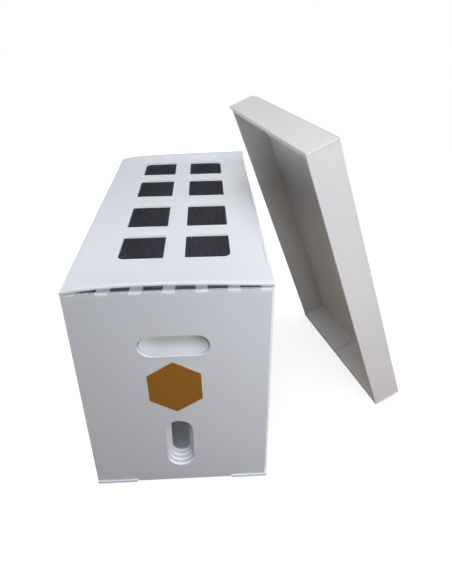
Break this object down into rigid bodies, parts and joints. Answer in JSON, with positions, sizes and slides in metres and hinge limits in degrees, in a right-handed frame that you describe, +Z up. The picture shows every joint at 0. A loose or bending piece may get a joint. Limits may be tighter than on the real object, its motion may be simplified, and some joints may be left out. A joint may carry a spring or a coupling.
{
  "type": "nuc box",
  "caption": "Nuc box folded from fluted plastic sheet, with double end walls, frame rests, an entrance, a vented cover on a fold and a loose telescoping roof leaning beside it.",
  "frame": {"origin": "middle of the box's underside", "axes": "+Z up, -Y out of the entrance end, +X towards the wall with the tongues and the leaning roof"},
  "size_m": [0.4996, 0.489, 0.4885],
  "materials": {
    "sheet": "satin white fluted sheet",
    "net": "matt black net",
    "tape": "satin tape",
    "label": "glossy bare sticker"
  },
  "bodies": {
    "box": {"floor_panel": "sheet", "left_wall": "sheet", "right_wall": "sheet", "front_outer_panel": "sheet", "front_right_flap": "sheet", "front_left_flap": "sheet", "front_inner_panel": "sheet", "front_rest_strip": "sheet", "rear_outer_panel": "sheet", "rear_right_flap": "sheet", "rear_left_flap": "sheet", "rear_inner_panel": "sheet", "rear_rest_strip": "sheet", "label": "label", "cover_fold": "sheet"},
    "front_flap": {"front_hand_flap": "sheet"},
    "rear_flap": {"rear_hand_flap": "sheet"},
    "cover": {"cover_sheet": "sheet", "vent_net": "net", "net_tape": "tape"},
    "roof": {"roof_top": "sheet", "roof_near_skirt": "sheet", "roof_far_skirt": "sheet", "roof_head_skirt": "sheet", "roof_foot_skirt": "sheet", "roof_tab_near_head": "sheet", "roof_tab_near_foot": "sheet", "roof_tab_far_head": "sheet", "roof_tab_far_foot": "sheet"}
  },
  "joints": [
    {"name": "cover_swing", "type": "hinge", "parent": "box", "child": "cover", "pos_m": [-0.1231, 0, 0.3369], "axis": [0, -1, 0], "range_deg": [0, 180]},
    {"name": "front_flap_swing", "type": "hinge", "parent": "box", "child": "front_flap", "pos_m": [0.001, -0.2385, 0.238], "axis": [1, 0, 0], "range_deg": [0, 16]},
    {"name": "rear_flap_swing", "type": "hinge", "parent": "box", "child": "rear_flap", "pos_m": [0.001, 0.2385, 0.238], "axis": [-1, 0, 0], "range_deg": [0, 16]},
    {"name": "roof_lift", "type": "slide", "parent": "box", "child": "roof", "axis": [0, 0, 1], "range_m": [0, 0.4]}
  ]
}
